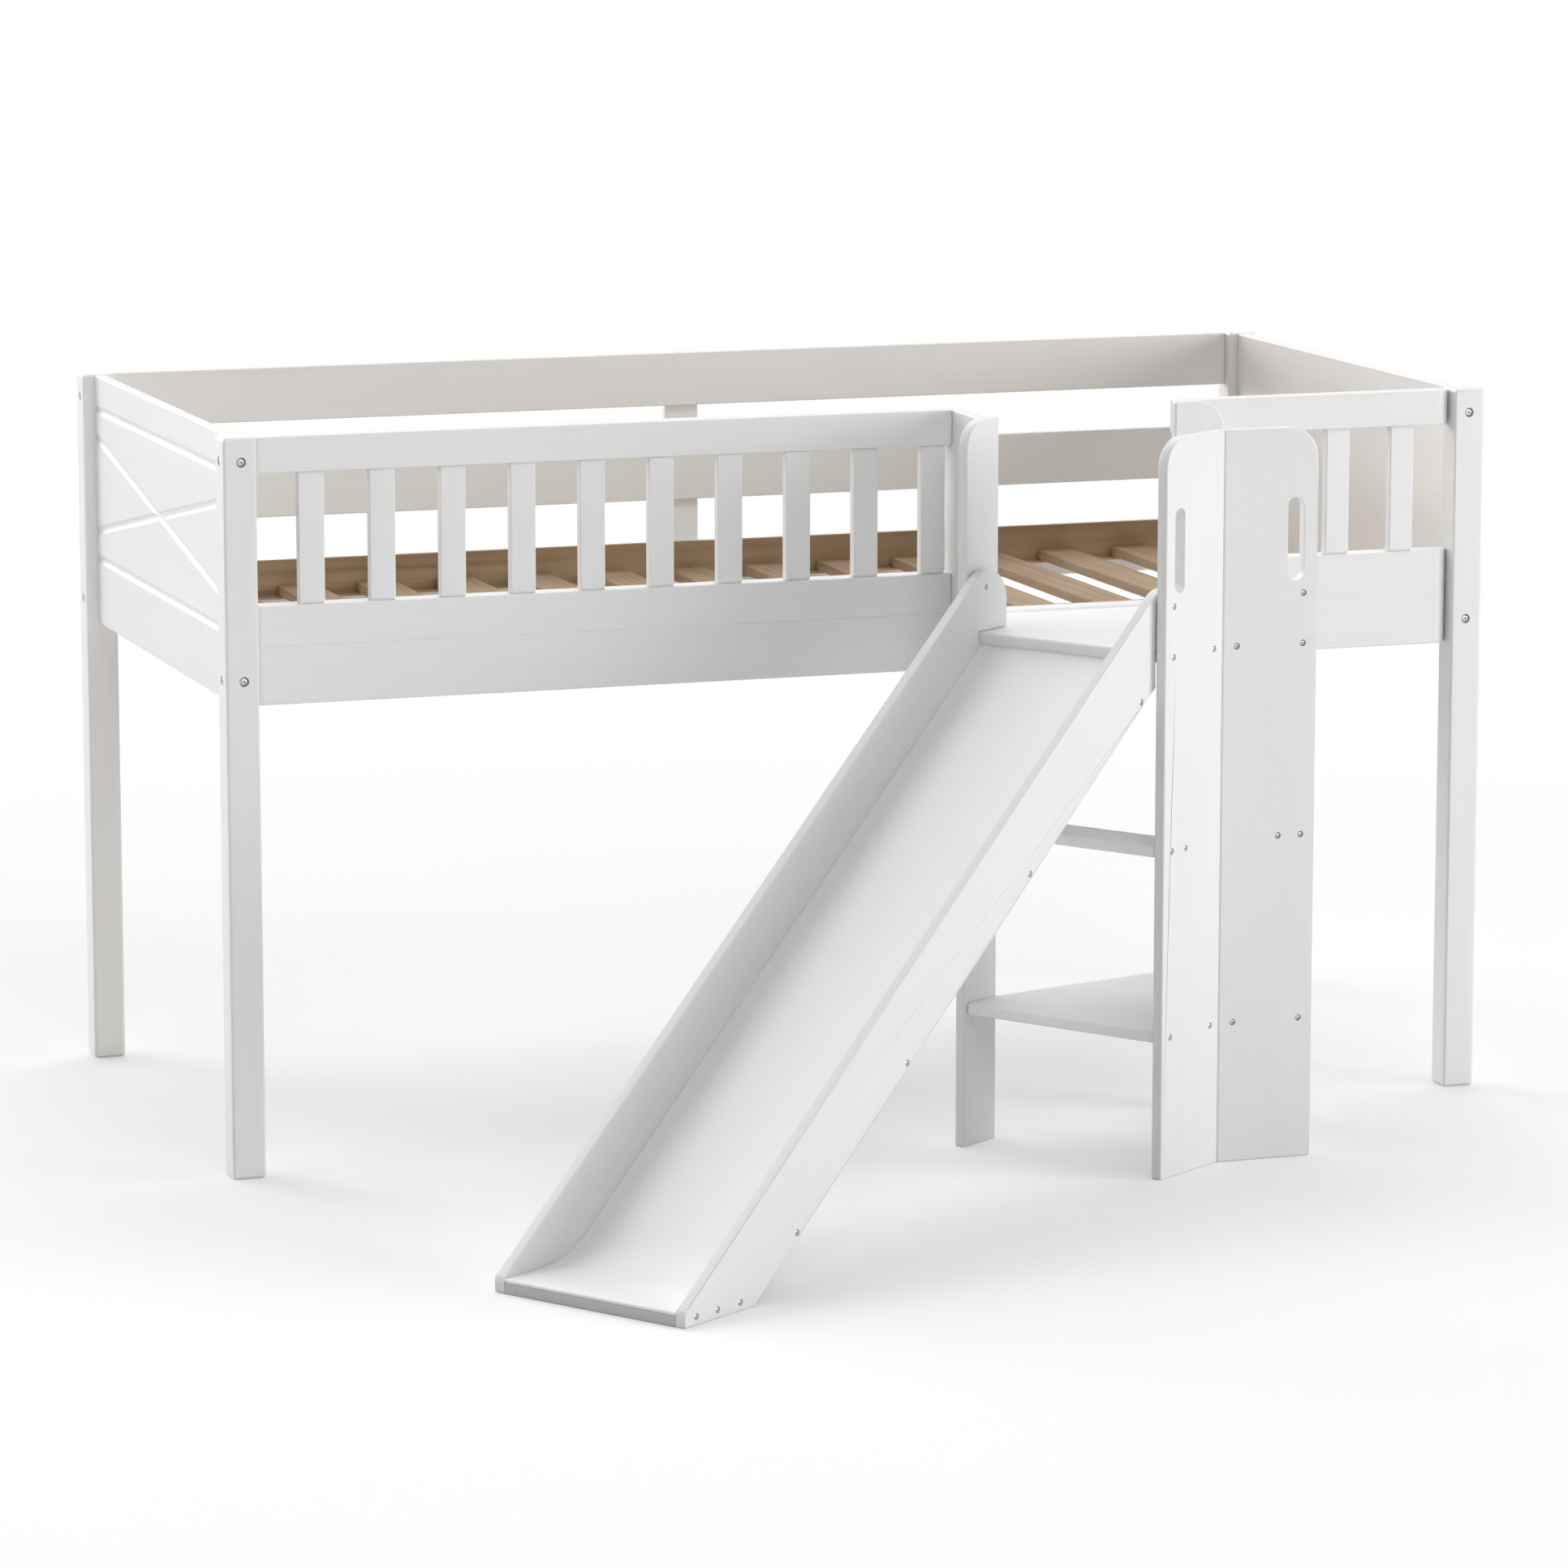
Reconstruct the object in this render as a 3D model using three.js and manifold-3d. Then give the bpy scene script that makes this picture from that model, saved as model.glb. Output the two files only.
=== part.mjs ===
// Loft bed for a child, with a guard rail, a corner tower and a straight slide.
// Millimetres, +Z up. The bed's long side faces -Y; the slide runs down from the
// tower towards -X and -Y. The origin is the middle of the footprint, on the floor.
import * as THREE from "three";
import { mergeVertices } from "three/addons/utils/BufferGeometryUtils.js";
import Module from "manifold-3d";

const wasm = await Module();
wasm.setup();

// bed frame
const bedLength = 2075;
const bedWidth = 982;
const postSide = 52;
const postHeight = 1140;
const railTopDrop = 2; // rails and panels end this far below the post tops
const guardHeight = 319.5; // from the side rails' top edge to the guard rails' top edge
const sideRailHeight = 89;

// front rails stand between the posts, their front ends rounded
const frontRailSetback = 12;
const frontRailThickness = 36;
const railStartRadius = 10;
const railEndRadius = 26;

// end panels with milled grooves on their outer faces
const endPanelSetback = 19;
const endPanelThickness = 18;
const grooveRadius = 10.9;
const grooveDepth = 3;
const upperGrooveDrop = 55; // below the panel's top edge
const lowerGrooveRise = 108.5; // above the panel's bottom edge
const crossGrooveStep = 44; // from a level groove to the end of a crossing one

// back boards and the stile behind them
const backBoardThickness = 18;
const backBoardHeight = 89;
const backStileThickness = 16;
const backStileWidth = 58;

// recessed bolts, two on every outward face of a post
const boltHoleDiameter = 15;
const boltHoleDepth = 7;
const boltInset = 28; // from the post's outer edge
const upperBoltDrop = 38; // below the post's top
const lowerBoltRise = 39.5; // above the side rail's bottom edge

// front guard
const rightGuardLength = 473.5; // the left guard ends at the tower's spacer
const guardStripHeight = 63;
const guardRailHeight = 55.5;
const guardSlatWidth = 40;
const guardSlatThickness = 18;
const guardSlatMargin = 67; // from the post to the nearest slat
const leftGuardEndGap = 12; // from the last slat to the rail's end at the tower
const rightGuardEndGap = 33.5;
const guardSlatChamfer = 4;
const leftGuardSlats = 10;
const rightGuardSlats = 4;

// slatted base
const bedSlatCount = 15;
const bedSlatWidth = 67;
const bedSlatThickness = 17;
const bedSlatPitch = 134.8;
const bedSlatMargin = 3; // from the left posts to the nearest slat
const bedSlatEndPlay = 1;
const bedSlatDrop = 42.5; // from the side rails' top edge to the slats' upper faces
const ledgerFlange = 8;
const ledgerLip = 24;
const ledgerLipHeight = 4;

// tower
const towerTurn = THREE.MathUtils.degToRad(33.6); // slide side against ladder side
const towerPastGuard = 72; // free edges of the ladder-side boards past the right guard's end
const spacerInset = 4.6; // from the slide-side inner board's far edge to the spacer
const towerBoardThickness = 18;
const towerOuterWidth = 155;
const towerInnerWidth = 84;
const towerClearWidth = 352; // between an outer board and its inner board
const towerOuterRadius = 47;
const towerInnerRadius = 45;
const shelfThickness = 18;
const shelfSetback = 6; // shelf edges behind the boards' free edges
const platformDrop = 4; // below the side rails' top edge
const treadDrop = 297.5; // below the platform
const lowerShelfDrop = 288; // below the treads
const treadDepth = 78;
const treadSetback = 2;
const slotWidth = 26.5;
const slotLength = 129;
const slotDrop = 107; // below the boards' top edge
const slotInset = 36;

// slide
const slideReach = 1144; // from the tower's free edges to the foot, along the slide
const sheetTuck = 11; // how far the sheet reaches under the platform
const slideSidePlay = 3; // between a side panel and its tower board
const sidePanelThickness = 18;
const footHeight = 23;
const footContact = 156;
const footRadius = 15;
const heelRadius = 12;
const heelGap = 1;
const upperEndReach = 79; // side panels past the tower's free edges
const upperEndRadius = 49.4;
const sheetDrop = 110; // upright, from the side panels' top edge to the sliding face
const sheetThickness = 5;
const runOutHeight = 22;
const runOutRadius = 175;
const sheetNoseRadius = 2.4;
const footBoardLength = 145;
const battenWidth = 40;
const battenDepth = 24;
const battenPlaceShares = [0.2247, 0.4545, 0.7203, 0.972]; // of the reach, from the foot

// screws
const screwHoleDiameter = 10;
const screwHoleDepth = 5;
const screwEdgeInset = 22.5;
const shelfScrewInset = 132;
const treadScrewInset = 60;
const slideScrewRise = 68.5; // above the platform
const footScrewHeight = 13;
const footScrewPlaces = [26, 74, 126];

// pieces that touch at an angle are drawn this far apart
const fitGap = 0.3;

const arcSegments = 10;
const holeSegments = 20;
const grooveSegments = 24;

const white = { color: 0xf1f1ef, roughness: 0.42, metalness: 0 };
const slideWhite = { color: 0xf4f4f3, roughness: 0.3, metalness: 0 };
const pine = { color: 0xa98458, roughness: 0.6, metalness: 0 };

// shapes

// A block between two opposite corners.
function block([x0, y0, z0], [x1, y1, z1]) {
  const geometry = new THREE.BoxGeometry(x1 - x0, y1 - y0, z1 - z0);
  return geometry.translate((x0 + x1) / 2, (y0 + y1) / 2, (z0 + z1) / 2);
}

// A closed outline from [x, y] or [x, y, corner radius] points.
function outline(corners) {
  const shape = new THREE.Shape();
  const at = (i) => new THREE.Vector2(...corners.at(i % corners.length).slice(0, 2));
  corners.forEach(([, , radius = 0], i) => {
    const corner = at(i);
    const toBefore = at(i - 1).sub(corner).normalize();
    const toAfter = at(i + 1).sub(corner).normalize();
    const halfAngle = toBefore.angleTo(toAfter) / 2;
    const start = corner.clone().addScaledVector(toBefore, radius / Math.tan(halfAngle));
    if (i === 0) shape.moveTo(start.x, start.y);
    else shape.lineTo(start.x, start.y);
    if (radius === 0) return;
    const end = corner.clone().addScaledVector(toAfter, radius / Math.tan(halfAngle));
    const inward = toBefore.clone().add(toAfter).normalize();
    const centre = corner.clone().addScaledVector(inward, radius / Math.sin(halfAngle));
    const from = start.sub(centre).angle();
    const to = end.sub(centre).angle();
    shape.absarc(centre.x, centre.y, radius, from, to, toBefore.cross(toAfter) > 0);
  });
  return shape;
}

// A flat shape drawn in plan and raised from one height to another.
function plate(shape, bottom, top) {
  const settings = { depth: top - bottom, bevelEnabled: false, curveSegments: arcSegments };
  return new THREE.ExtrudeGeometry(shape, settings).translate(0, 0, bottom);
}

// A shape drawn in the upright X-Z plane, given thickness from y0 to y1.
function upright(shape, y0, y1) {
  return plate(shape, -y1, -y0).rotateX(Math.PI / 2);
}

// A shape drawn in the upright Y-Z plane, given thickness from x0 to x1.
function crosswise(shape, x0, x1) {
  return plate(shape, x0, x1).rotateX(Math.PI / 2).rotateZ(Math.PI / 2);
}

// A round bar lying along Y, centred on a point.
function barAlongY(diameter, length, [x, y, z], segments = holeSegments) {
  const radius = diameter / 2;
  return new THREE.CylinderGeometry(radius, radius, length, segments).translate(x, y, z);
}

// A round bar lying along X, centred on a point.
function barAlongX(diameter, length, [x, y, z]) {
  const radius = diameter / 2;
  return new THREE.CylinderGeometry(radius, radius, length, holeSegments)
    .rotateZ(Math.PI / 2)
    .translate(x, y, z);
}

// cutting and joining

function solidOf(geometry) {
  const bare = geometry.clone();
  bare.deleteAttribute("normal");
  bare.deleteAttribute("uv");
  const merged = mergeVertices(bare);
  const mesh = new wasm.Mesh({
    numProp: 3,
    vertProperties: new Float32Array(merged.attributes.position.array),
    triVerts: new Uint32Array(merged.index.array),
  });
  return new wasm.Manifold(mesh);
}

function geometryOf(solid) {
  const mesh = solid.getMesh();
  const geometry = new THREE.BufferGeometry();
  const position = new THREE.BufferAttribute(mesh.vertProperties, 3);
  geometry.setAttribute("position", position);
  geometry.setIndex(new THREE.BufferAttribute(mesh.triVerts, 1));
  const faceted = geometry.toNonIndexed();
  faceted.computeVertexNormals();
  return faceted;
}

function cut(body, tools) {
  const cutBody = tools.reduce((rest, tool) => rest.subtract(solidOf(tool)), solidOf(body));
  return geometryOf(cutBody);
}

function common(a, b) {
  return geometryOf(solidOf(a).intersect(solidOf(b)));
}

// placing

const bed = new THREE.Group();

function addPiece(parent, name, geometry, finish) {
  const piece = new THREE.Mesh(geometry, new THREE.MeshStandardMaterial(finish));
  piece.name = name;
  parent.add(piece);
}

// bed frame pieces

const railTop = postHeight - railTopDrop;
const sideRailTop = railTop - guardHeight;
const sideRailBottom = sideRailTop - sideRailHeight;
const boltHeights = [postHeight - upperBoltDrop, sideRailBottom + lowerBoltRise];
const railStart = postSide;
const railEnd = bedLength - postSide;
const frontRailFace = frontRailSetback;
const frontRailBack = frontRailFace + frontRailThickness;
const backBoardBack = bedWidth - backStileThickness;
const backBoardFace = backBoardBack - backBoardThickness;

function addPost(name, atRight, atBack) {
  const x0 = atRight ? railEnd : 0;
  const y0 = atBack ? bedWidth - postSide : 0;
  const outerX = atRight ? bedLength : 0;
  const outerY = atBack ? bedWidth : 0;
  const boltX = atRight ? bedLength - boltInset : boltInset;
  const boltY = atBack ? bedWidth - boltInset : boltInset;
  const holeLength = boltHoleDepth * 2;
  const holes = boltHeights.flatMap((z) => [
    barAlongX(boltHoleDiameter, holeLength, [outerX, boltY, z]),
    barAlongY(boltHoleDiameter, holeLength, [boltX, outerY, z]),
  ]);
  const post = block([x0, y0, 0], [x0 + postSide, y0 + postSide, postHeight]);
  addPiece(bed, name, cut(post, holes), white);
}

addPost("post_front_left", false, false);
addPost("post_front_right", true, false);
addPost("post_back_left", false, true);
addPost("post_back_right", true, true);

// The outer face is grooved: a level groove above and below, and two that cross.
function addEndPanel(name, atRight) {
  const x0 = atRight ? bedLength - endPanelSetback - endPanelThickness : endPanelSetback;
  const y0 = postSide;
  const y1 = bedWidth - postSide;
  const panel = block([x0, y0, sideRailBottom], [x0 + endPanelThickness, y1, railTop]);
  const grooveOffset = grooveRadius - grooveDepth;
  const face = atRight ? x0 + endPanelThickness : x0;
  const grooveX = atRight ? face + grooveOffset : face - grooveOffset;
  const middleY = (y0 + y1) / 2;
  const upperZ = railTop - upperGrooveDrop;
  const lowerZ = sideRailBottom + lowerGrooveRise;
  const middleZ = (upperZ + lowerZ) / 2;
  const span = y1 - y0;
  const tilt = Math.atan2(upperZ - lowerZ - 2 * crossGrooveStep, span);
  const bar = () => barAlongY(grooveRadius * 2, span * 2, [0, 0, 0], grooveSegments);
  const grooves = [
    bar().translate(grooveX, middleY, upperZ),
    bar().translate(grooveX, middleY, lowerZ),
    bar().rotateX(tilt).translate(grooveX, middleY, middleZ),
    bar().rotateX(-tilt).translate(grooveX, middleY, middleZ),
  ];
  addPiece(bed, name, cut(panel, grooves), white);
}

addEndPanel("end_panel_left", false);
addEndPanel("end_panel_right", true);

// A front rail seen in plan, its front corners rounded where it meets an upright piece.
function frontRail(x0, x1, bottom, top, startRadius, endRadius) {
  const plan = outline([
    [x0, frontRailFace, startRadius],
    [x1, frontRailFace, endRadius],
    [x1, frontRailBack],
    [x0, frontRailBack],
  ]);
  return plate(plan, bottom, top);
}

const sideRail = [railStart, railEnd, sideRailBottom, sideRailTop];
addPiece(bed, "side_rail_front", frontRail(...sideRail, railStartRadius, railEndRadius), white);

function addBackBoard(name, bottom, height) {
  const board = block([railStart, backBoardFace, bottom], [railEnd, backBoardBack, bottom + height]);
  addPiece(bed, name, board, white);
}

const backGap = (railTop - sideRailTop - 2 * backBoardHeight) / 2;
const lowerBoardBottom = sideRailTop + backGap;
const upperBoardBottom = lowerBoardBottom + backBoardHeight + backGap;
addBackBoard("side_rail_back", sideRailBottom, sideRailHeight);
addBackBoard("back_board_lower", lowerBoardBottom, backBoardHeight);
addBackBoard("back_board_upper", upperBoardBottom, backBoardHeight);

const stileStart = (bedLength - backStileWidth) / 2;
const stileEnd = stileStart + backStileWidth;
const stile = block([stileStart, backBoardBack, sideRailBottom], [stileEnd, bedWidth, railTop]);
addPiece(bed, "back_stile", stile, white);

// tower layout
// The tower is two mirrored halves that meet along an upright plane. Each half is
// measured from the free edge of its outer board: `along` inwards on the board's
// outer face, `across` from that face towards the inner board.

const rightGuardStart = railEnd - rightGuardLength;
const innerBoardAcross = towerBoardThickness + towerClearWidth;
const towerAcross = innerBoardAcross + towerBoardThickness;
const towerFrontX = rightGuardStart + towerPastGuard;
const towerFrontY = frontRailFace - towerAcross;
const cornerX = towerFrontX - towerOuterWidth;
const slideFreeX = cornerX - towerOuterWidth * Math.cos(towerTurn);
const slideFreeY = towerFrontY - towerOuterWidth * Math.sin(towerTurn);
const mitreSlope = Math.tan(towerTurn / 2);

function ladderPoint(along, across) {
  return [towerFrontX - along, towerFrontY + across];
}

function slidePoint(along, across) {
  const x = along * Math.cos(towerTurn) - across * Math.sin(towerTurn);
  const y = along * Math.sin(towerTurn) + across * Math.cos(towerTurn);
  return [slideFreeX + x, slideFreeY + y];
}

// The spacer ties the slide-side inner board to the side rail and the left guard's end.
const spacerEnd = slidePoint(towerInnerWidth, towerAcross)[0] - spacerInset;
const spacerStart = spacerEnd - towerBoardThickness;
const leftGuardEnd = spacerStart;

const platformTop = sideRailTop - platformDrop;
const treadTop = platformTop - treadDrop;
const lowerShelfTop = treadTop - lowerShelfDrop;

// guard

const stripTop = sideRailTop + guardStripHeight;
const guardRailBottom = railTop - guardRailHeight;

// The front edges of a slat's two ends are chamfered where they meet the rails.
function guardSlat(x) {
  const face = frontRailFace;
  const back = face + guardSlatThickness;
  const profile = outline([
    [face + guardSlatChamfer, stripTop],
    [back, stripTop],
    [back, guardRailBottom],
    [face + guardSlatChamfer, guardRailBottom],
    [face, guardRailBottom - guardSlatChamfer],
    [face, stripTop + guardSlatChamfer],
  ]);
  return crosswise(profile, x, x + guardSlatWidth);
}

function addGuard(side, x0, x1, radii, firstSlat, lastSlat, slatCount) {
  const strip = frontRail(x0, x1, sideRailTop, stripTop, ...radii);
  const rail = frontRail(x0, x1, guardRailBottom, railTop, ...radii);
  addPiece(bed, `guard_strip_${side}`, strip, white);
  addPiece(bed, `guard_rail_${side}`, rail, white);
  const pitch = (lastSlat - firstSlat) / (slatCount - 1);
  for (let i = 0; i < slatCount; i += 1) {
    addPiece(bed, `guard_slat_${side}_${i + 1}`, guardSlat(firstSlat + i * pitch), white);
  }
}

const leftFirstSlat = railStart + guardSlatMargin;
const leftLastSlat = leftGuardEnd - leftGuardEndGap - guardSlatWidth;
const rightFirstSlat = rightGuardStart + rightGuardEndGap;
const rightLastSlat = railEnd - guardSlatMargin - guardSlatWidth;
const leftSlats = [leftFirstSlat, leftLastSlat, leftGuardSlats];
const rightSlats = [rightFirstSlat, rightLastSlat, rightGuardSlats];
addGuard("left", railStart, leftGuardEnd, [railStartRadius, 0], ...leftSlats);
addGuard("right", rightGuardStart, railEnd, [0, railEndRadius], ...rightSlats);

// slatted base pieces

const bedSlatTop = sideRailTop - bedSlatDrop;
const bedSlatBottom = bedSlatTop - bedSlatThickness;
const ledgerBottom = bedSlatBottom - ledgerLipHeight;

// An L-shaped pine ledger: a thin flange against the rail and a lip under the slats.
function addLedger(name, wall, inward) {
  const profile = outline([
    [wall, ledgerBottom],
    [wall + inward * ledgerLip, ledgerBottom],
    [wall + inward * ledgerLip, bedSlatBottom],
    [wall + inward * ledgerFlange, bedSlatBottom],
    [wall + inward * ledgerFlange, sideRailTop],
    [wall, sideRailTop],
  ]);
  addPiece(bed, name, crosswise(profile, railStart, railEnd), pine);
}

addLedger("ledger_front", frontRailBack, 1);
addLedger("ledger_back", backBoardFace, -1);

const slatFront = frontRailBack + ledgerFlange + bedSlatEndPlay;
const slatBack = backBoardFace - ledgerFlange - bedSlatEndPlay;
for (let i = 0; i < bedSlatCount; i += 1) {
  const x = railStart + bedSlatMargin + bedSlatPitch * i;
  const slat = block([x, slatFront, bedSlatBottom], [x + bedSlatWidth, slatBack, bedSlatTop]);
  addPiece(bed, `bed_slat_${String(i + 1).padStart(2, "0")}`, slat, pine);
}

// tower pieces

const ladderHalf = new THREE.Group();
ladderHalf.position.set(towerFrontX, towerFrontY, 0);
const slideHalf = new THREE.Group();
slideHalf.position.set(slideFreeX, slideFreeY, 0);
slideHalf.rotation.z = towerTurn;
bed.add(ladderHalf, slideHalf);

// heights of the screws that hold the platform, the treads and the lower shelf
const shelfScrewDrop = shelfThickness / 2;
const boardScrews = [
  [screwEdgeInset, platformTop + slideScrewRise],
  [screwEdgeInset, platformTop - shelfScrewDrop],
  [shelfScrewInset, platformTop - shelfScrewDrop],
  [screwEdgeInset, treadTop - shelfScrewDrop],
  [treadScrewInset, treadTop - shelfScrewDrop],
  [screwEdgeInset, lowerShelfTop - shelfScrewDrop],
  [shelfScrewInset, lowerShelfTop - shelfScrewDrop],
];

// An outer board: rounded free corner, hand slot, screw holes and a mitred far edge.
function outerBoard(direction) {
  const x = (along) => direction * along;
  const farEdge = towerOuterWidth + mitreSlope * towerBoardThickness;
  const face = outline([
    [x(0), 0],
    [x(farEdge), 0],
    [x(farEdge), railTop],
    [x(0), railTop, towerOuterRadius],
  ]);
  const slotEnd = slotWidth / 2;
  const slotTop = railTop - slotDrop;
  const slot = new THREE.Path();
  slot.absarc(x(slotInset), slotTop - slotLength + slotEnd, slotEnd, Math.PI, 2 * Math.PI, false);
  slot.absarc(x(slotInset), slotTop - slotEnd, slotEnd, 0, Math.PI, false);
  face.holes.push(slot);
  const mitre = outline([
    [x(-towerOuterWidth), 0],
    [x(towerOuterWidth - fitGap), 0],
    [x(farEdge - fitGap), towerBoardThickness],
    [x(-towerOuterWidth), towerBoardThickness],
  ]);
  const board = common(upright(face, 0, towerBoardThickness), plate(mitre, 0, railTop));
  const holes = boardScrews.map(([along, z]) =>
    barAlongY(screwHoleDiameter, screwHoleDepth * 2, [x(along), 0, z]),
  );
  return cut(board, holes);
}

function innerBoard(direction) {
  const face = outline([
    [0, 0],
    [direction * towerInnerWidth, 0],
    [direction * towerInnerWidth, railTop],
    [0, railTop, towerInnerRadius],
  ]);
  return upright(face, innerBoardAcross, towerAcross);
}

function tread(direction, gap) {
  const x0 = direction * treadSetback;
  const x1 = direction * (treadSetback + treadDepth);
  return block(
    [Math.min(x0, x1), towerBoardThickness + gap, treadTop - shelfThickness],
    [Math.max(x0, x1), innerBoardAcross - gap, treadTop],
  );
}

addPiece(ladderHalf, "tower_outer_ladder", outerBoard(-1), white);
addPiece(ladderHalf, "tower_inner_ladder", innerBoard(-1), white);
addPiece(ladderHalf, "tread_ladder", tread(-1, 0), white);
addPiece(slideHalf, "tower_outer_slide", outerBoard(1), white);
addPiece(slideHalf, "tower_inner_slide", innerBoard(1), white);
addPiece(slideHalf, "tread_slide", tread(1, fitGap), white);

// The spacer's front end is cut along the back face of the slide-side inner board.
function innerBoardBackY(x) {
  const across = towerAcross + fitGap;
  const offset = x - slideFreeX + across * Math.sin(towerTurn);
  return slideFreeY + offset * Math.tan(towerTurn) + across * Math.cos(towerTurn);
}

const spacerSide = outline([
  [towerFrontY, sideRailBottom],
  [frontRailFace, sideRailBottom],
  [frontRailFace, sideRailTop],
  [frontRailBack, sideRailTop],
  [frontRailBack, railTop],
  [towerFrontY, railTop],
]);
const spacerPlan = outline([
  [spacerStart, innerBoardBackY(spacerStart)],
  [spacerEnd, innerBoardBackY(spacerEnd)],
  [spacerEnd, frontRailBack],
  [spacerStart, frontRailBack],
]);
const spacerBlank = crosswise(spacerSide, spacerStart, spacerEnd);
addPiece(bed, "tower_spacer", common(spacerBlank, plate(spacerPlan, 0, railTop)), white);

// Platform and lower shelf share their three front edges.
const shelfOuter = towerBoardThickness + fitGap;
const shelfInner = innerBoardAcross - fitGap;
const shelfCorner = slidePoint(towerOuterWidth + mitreSlope * shelfOuter, shelfOuter);
const ladderEdge = [
  ladderPoint(shelfSetback, shelfInner),
  ladderPoint(shelfSetback, shelfOuter),
];
const slideEdge = [slidePoint(shelfSetback, shelfOuter), slidePoint(shelfSetback, shelfInner)];
const pastInnerBoard = towerInnerWidth + fitGap;

const platformPlan = outline([
  ...slideEdge,
  slidePoint(pastInnerBoard, shelfInner),
  slidePoint(pastInnerBoard, towerAcross + fitGap),
  [spacerEnd + fitGap, innerBoardBackY(spacerEnd + fitGap)],
  [spacerEnd + fitGap, frontRailFace],
  [ladderPoint(pastInnerBoard, 0)[0], frontRailFace],
  ladderPoint(pastInnerBoard, shelfInner),
  ...ladderEdge,
  shelfCorner,
]);
const platform = plate(platformPlan, platformTop - shelfThickness, platformTop);
addPiece(bed, "platform", platform, white);

const lowerShelfPlan = outline([
  ...slideEdge,
  slidePoint(towerInnerWidth, shelfInner),
  ladderPoint(towerInnerWidth, shelfInner),
  ...ladderEdge,
  shelfCorner,
]);
const lowerShelf = plate(lowerShelfPlan, lowerShelfTop - shelfThickness, lowerShelfTop);
addPiece(bed, "lower_shelf", lowerShelf, white);

// slide pieces
// Profiles are drawn in the slide's own upright plane: X along the floor from the
// tower's free edges (the foot lies at -slideReach), Z up.

const sheetEndX = sheetTuck;
const sheetEndZ = platformTop - shelfThickness - fitGap;
const slope = (sheetEndZ + sheetDrop - footHeight) / (sheetEndX + slideReach);
const slideAngle = Math.atan(slope);
const battenPlaces = battenPlaceShares.map((share) => share * slideReach);
const footX = -slideReach;
const panelTopAt = (x) => footHeight + (x - footX) * slope;
const sheetFaceAt = (x) => panelTopAt(x) - sheetDrop;
const panelHeelX = shelfSetback - heelGap;
const panelSeat = platformTop + fitGap;

const sidePanelOutline = outline([
  [footX, 0],
  [footX + footContact, 0],
  [panelHeelX, (panelHeelX - footX - footContact) * slope, heelRadius],
  [panelHeelX, panelSeat],
  [upperEndReach, panelSeat],
  [upperEndReach, panelTopAt(upperEndReach), upperEndRadius],
  [footX, footHeight, footRadius],
]);

// distance straight below the sliding face to the middle of a batten
const battenScrewDrop = (sheetThickness + battenDepth / 2) / Math.cos(slideAngle);
const panelScrews = [
  ...footScrewPlaces.map((place) => [footX + place, footScrewHeight]),
  ...battenPlaces.map((place) => [footX + place, sheetFaceAt(footX + place) - battenScrewDrop]),
];

// A side panel between two planes, with screw holes centred on [x, y, z] face points.
function addSidePanel(name, y0, y1, screws) {
  const holes = screws.map((place) => barAlongY(screwHoleDiameter, screwHoleDepth * 2, place));
  const panel = cut(upright(sidePanelOutline, y0, y1), holes);
  addPiece(slideHalf, name, panel, white);
}

const rightPanelY = towerBoardThickness + slideSidePlay;
const leftPanelY = innerBoardAcross - slideSidePlay - sidePanelThickness;
const rightPanelInnerY = rightPanelY + sidePanelThickness;
const leftPanelOuterY = leftPanelY + sidePanelThickness;
const outerScrewsOn = (face) => panelScrews.map(([x, z]) => [x, face, z]);
const towerScrew = [screwEdgeInset, leftPanelY, platformTop + slideScrewRise];
addSidePanel("slide_panel_right", rightPanelY, rightPanelInnerY, outerScrewsOn(rightPanelY));
addSidePanel("slide_panel_left", leftPanelY, leftPanelOuterY, [
  ...outerScrewsOn(leftPanelOuterY),
  towerScrew,
]);

// The thin sliding sheet: level run-out, one bend, then a straight slope that tucks
// under the platform's edge. Four cross battens are glued to its underside.
const sheetDropBelow = sheetThickness / Math.cos(slideAngle);
const battenDropBelow = (sheetThickness + battenDepth) / Math.cos(slideAngle);
const bendX = footX + (runOutHeight + sheetDrop - footHeight) / slope;
const undersideAt = (x) => sheetFaceAt(x) - sheetDropBelow;
const runOutUnderside = runOutHeight - sheetThickness;
const underBendX = footX + (runOutUnderside + sheetDropBelow + sheetDrop - footHeight) / slope;

// The two underside corners and two outer corners of one batten, from its upper side down.
function battenCorners(place) {
  const halfRun = (battenWidth / 2) * Math.cos(slideAngle);
  const lean = battenDepth * Math.sin(slideAngle);
  const upperX = footX + place + halfRun;
  const lowerX = footX + place - halfRun;
  const outerDrop = battenDepth * Math.cos(slideAngle);
  return [
    [upperX, undersideAt(upperX)],
    [upperX + lean, undersideAt(upperX) - outerDrop],
    [lowerX + lean, undersideAt(lowerX) - outerDrop],
    [lowerX, undersideAt(lowerX)],
  ];
}

const sheetOutline = outline([
  [footX, runOutUnderside],
  [underBendX, runOutUnderside, runOutRadius + sheetThickness],
  ...battenPlaces.flatMap((place) => battenCorners(place).reverse()),
  [sheetEndX, undersideAt(sheetEndX)],
  [sheetEndX, sheetEndZ],
  [bendX, runOutHeight, runOutRadius],
  [footX, runOutHeight, sheetNoseRadius],
]);
const sheetY0 = rightPanelInnerY + fitGap;
const sheetY1 = leftPanelY - fitGap;
addPiece(slideHalf, "slide_sheet", upright(sheetOutline, sheetY0, sheetY1), slideWhite);

const footBoard = block(
  [footX, sheetY0, 0],
  [footX + footBoardLength, sheetY1, runOutUnderside - fitGap],
);
addPiece(slideHalf, "slide_foot_board", footBoard, white);

// footprint centre on the origin
const [, footCornerY] = slidePoint(footX, rightPanelY);
bed.position.set(-bedLength / 2, -(footCornerY + bedWidth) / 2, 0);

export default bed;
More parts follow.
